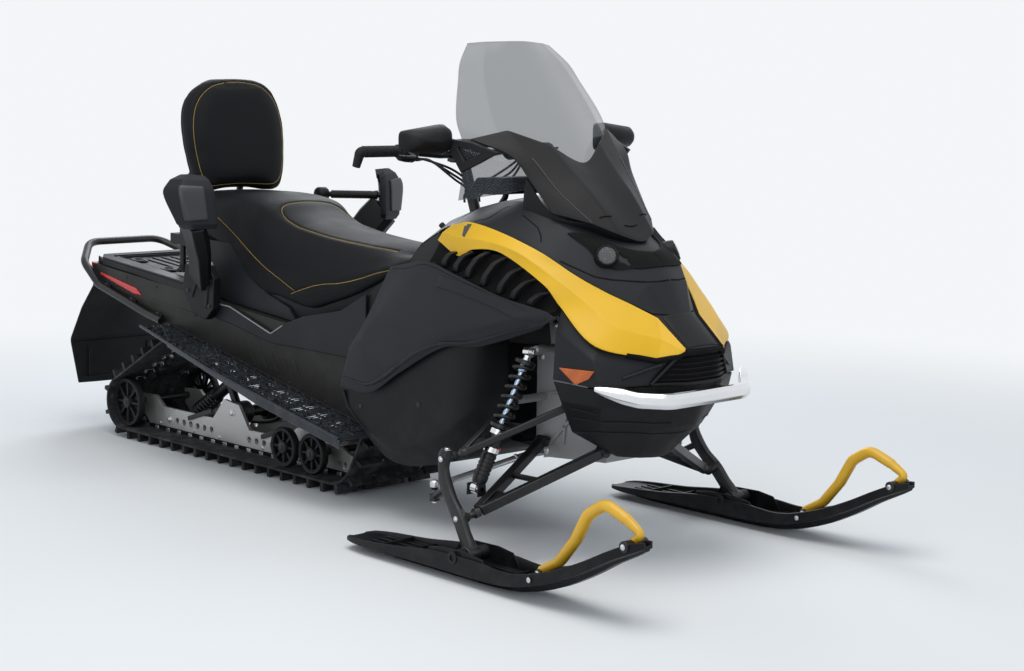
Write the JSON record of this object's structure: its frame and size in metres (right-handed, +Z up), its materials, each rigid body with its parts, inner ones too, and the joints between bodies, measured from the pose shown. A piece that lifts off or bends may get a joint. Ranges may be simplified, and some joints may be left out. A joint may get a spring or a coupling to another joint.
{
  "type": "snowmobile",
  "caption": "Two-seat touring snowmobile with a long rubber track, steered skis, tall windshield, passenger backrest and hand grips.",
  "frame": {"origin": "on the ground, midway between the rear bumper and the ski tips, on the centre line", "axes": "+X forward, +Y to the rider's left, +Z up"},
  "size_m": [3.31, 1.217, 1.438],
  "materials": {
    "track_rubber": "matt",
    "body_plastic": "satin",
    "panel_yellow": "gloss",
    "tunnel_metal": "satin",
    "board_metal": "satin",
    "rail_metal": "satin",
    "black_metal": "satin",
    "bright_metal": "polished",
    "cast_metal": "cast",
    "dark_steel": "forged",
    "wheel_plastic": "satin",
    "seat_vinyl": "grained",
    "grip_rubber": "matt",
    "windshield_clear": "clear",
    "lamp_red": "gloss",
    "lamp_clear": "clear",
    "ski_plastic": "satin",
    "loop_yellow": "gloss",
    "engine_metal": "matt",
    "flap_rubber": "matt"
  },
  "bodies": {
    "chassis": {"track": "track_rubber", "idlers_rear": "wheel_plastic", "idlers_mid_rear": "wheel_plastic", "idlers_mid_front": "wheel_plastic", "drive_axle": "wheel_plastic", "skid_rails": "rail_metal", "skid_rear_arm": "black_metal", "skid_front_arm": "black_metal", "skid_shock": "bright_metal", "tunnel": "tunnel_metal", "snow_flap": "flap_rubber", "rear_bumper": "black_metal", "rear_deck": "body_plastic", "tail_lamp": "lamp_red", "hitch": "black_metal", "seat_base": "body_plastic", "seat": "seat_vinyl", "backrest": "seat_vinyl", "backrest_frame": "black_metal", "engine_block": "engine_metal", "belly_pan": "body_plastic", "console": "body_plastic", "hood": "body_plastic", "nose_cone": "body_plastic", "nose_pan": "body_plastic", "grille": "body_plastic", "front_bumper": "bright_metal", "front_frame": "cast_metal", "windshield": "windshield_clear", "windshield_fairing": "body_plastic", "gauge": "body_plastic", "running_board_right": "board_metal", "passenger_grip_right": "body_plastic", "side_panel_right": "body_plastic", "upper_panel_right": "panel_yellow", "vent_duct_right": "body_plastic", "headlamp_right": "lamp_clear", "mirror_right": "body_plastic", "lower_arm_right": "black_metal", "upper_arm_right": "black_metal", "shock_right": "black_metal", "running_board_left": "board_metal", "passenger_grip_left": "body_plastic", "side_panel_left": "body_plastic", "upper_panel_left": "panel_yellow", "vent_duct_left": "body_plastic", "headlamp_left": "lamp_clear", "mirror_left": "body_plastic", "lower_arm_left": "black_metal", "upper_arm_left": "black_metal", "shock_left": "black_metal"},
    "bars": {"steering_post": "black_metal", "handlebar": "grip_rubber"},
    "tie_rods": {"steering_link": "bright_metal"},
    "spindle_body_right": {"spindle_right": "dark_steel"},
    "ski_body_right": {"ski_right": "ski_plastic", "ski_loop_right": "loop_yellow"},
    "spindle_body_left": {"spindle_left": "dark_steel"},
    "ski_body_left": {"ski_left": "ski_plastic", "ski_loop_left": "loop_yellow"}
  },
  "joints": [
    {"name": "steering", "type": "hinge", "parent": "chassis", "child": "bars", "pos_m": [0.352, 0, 1.092], "axis": [-0.3431, 0, 0.9393], "range_deg": [-32, 32]},
    {"name": "tie_rod_slide", "type": "slide", "parent": "chassis", "child": "tie_rods", "axis": [0, 1, 0], "range_m": [-0.0415, 0.0415]},
    {"name": "spindle_turn_right", "type": "hinge", "parent": "chassis", "child": "spindle_body_right", "pos_m": [0.939, -0.496, 0.146], "axis": [-0.4006, 0.0929, 0.9115], "range_deg": [-27, 27]},
    {"name": "ski_pitch_right", "type": "hinge", "parent": "spindle_body_right", "child": "ski_body_right", "pos_m": [1.01, -0.5385, 0.066], "axis": [0, 1, 0], "range_deg": [-12, 8]},
    {"name": "spindle_turn_left", "type": "hinge", "parent": "chassis", "child": "spindle_body_left", "pos_m": [0.939, 0.496, 0.146], "axis": [-0.4006, -0.0929, 0.9115], "range_deg": [-27, 27]},
    {"name": "ski_pitch_left", "type": "hinge", "parent": "spindle_body_left", "child": "ski_body_left", "pos_m": [1.01, 0.5385, 0.066], "axis": [0, 1, 0], "range_deg": [-12, 8]}
  ],
  "couplings": [
    {"joint": "tie_rod_slide", "follows": "steering", "m_per_rad": -0.0735},
    {"joint": "spindle_turn_right", "follows": "steering", "ratio": 0.84},
    {"joint": "spindle_turn_left", "follows": "steering", "ratio": 0.84}
  ]
}
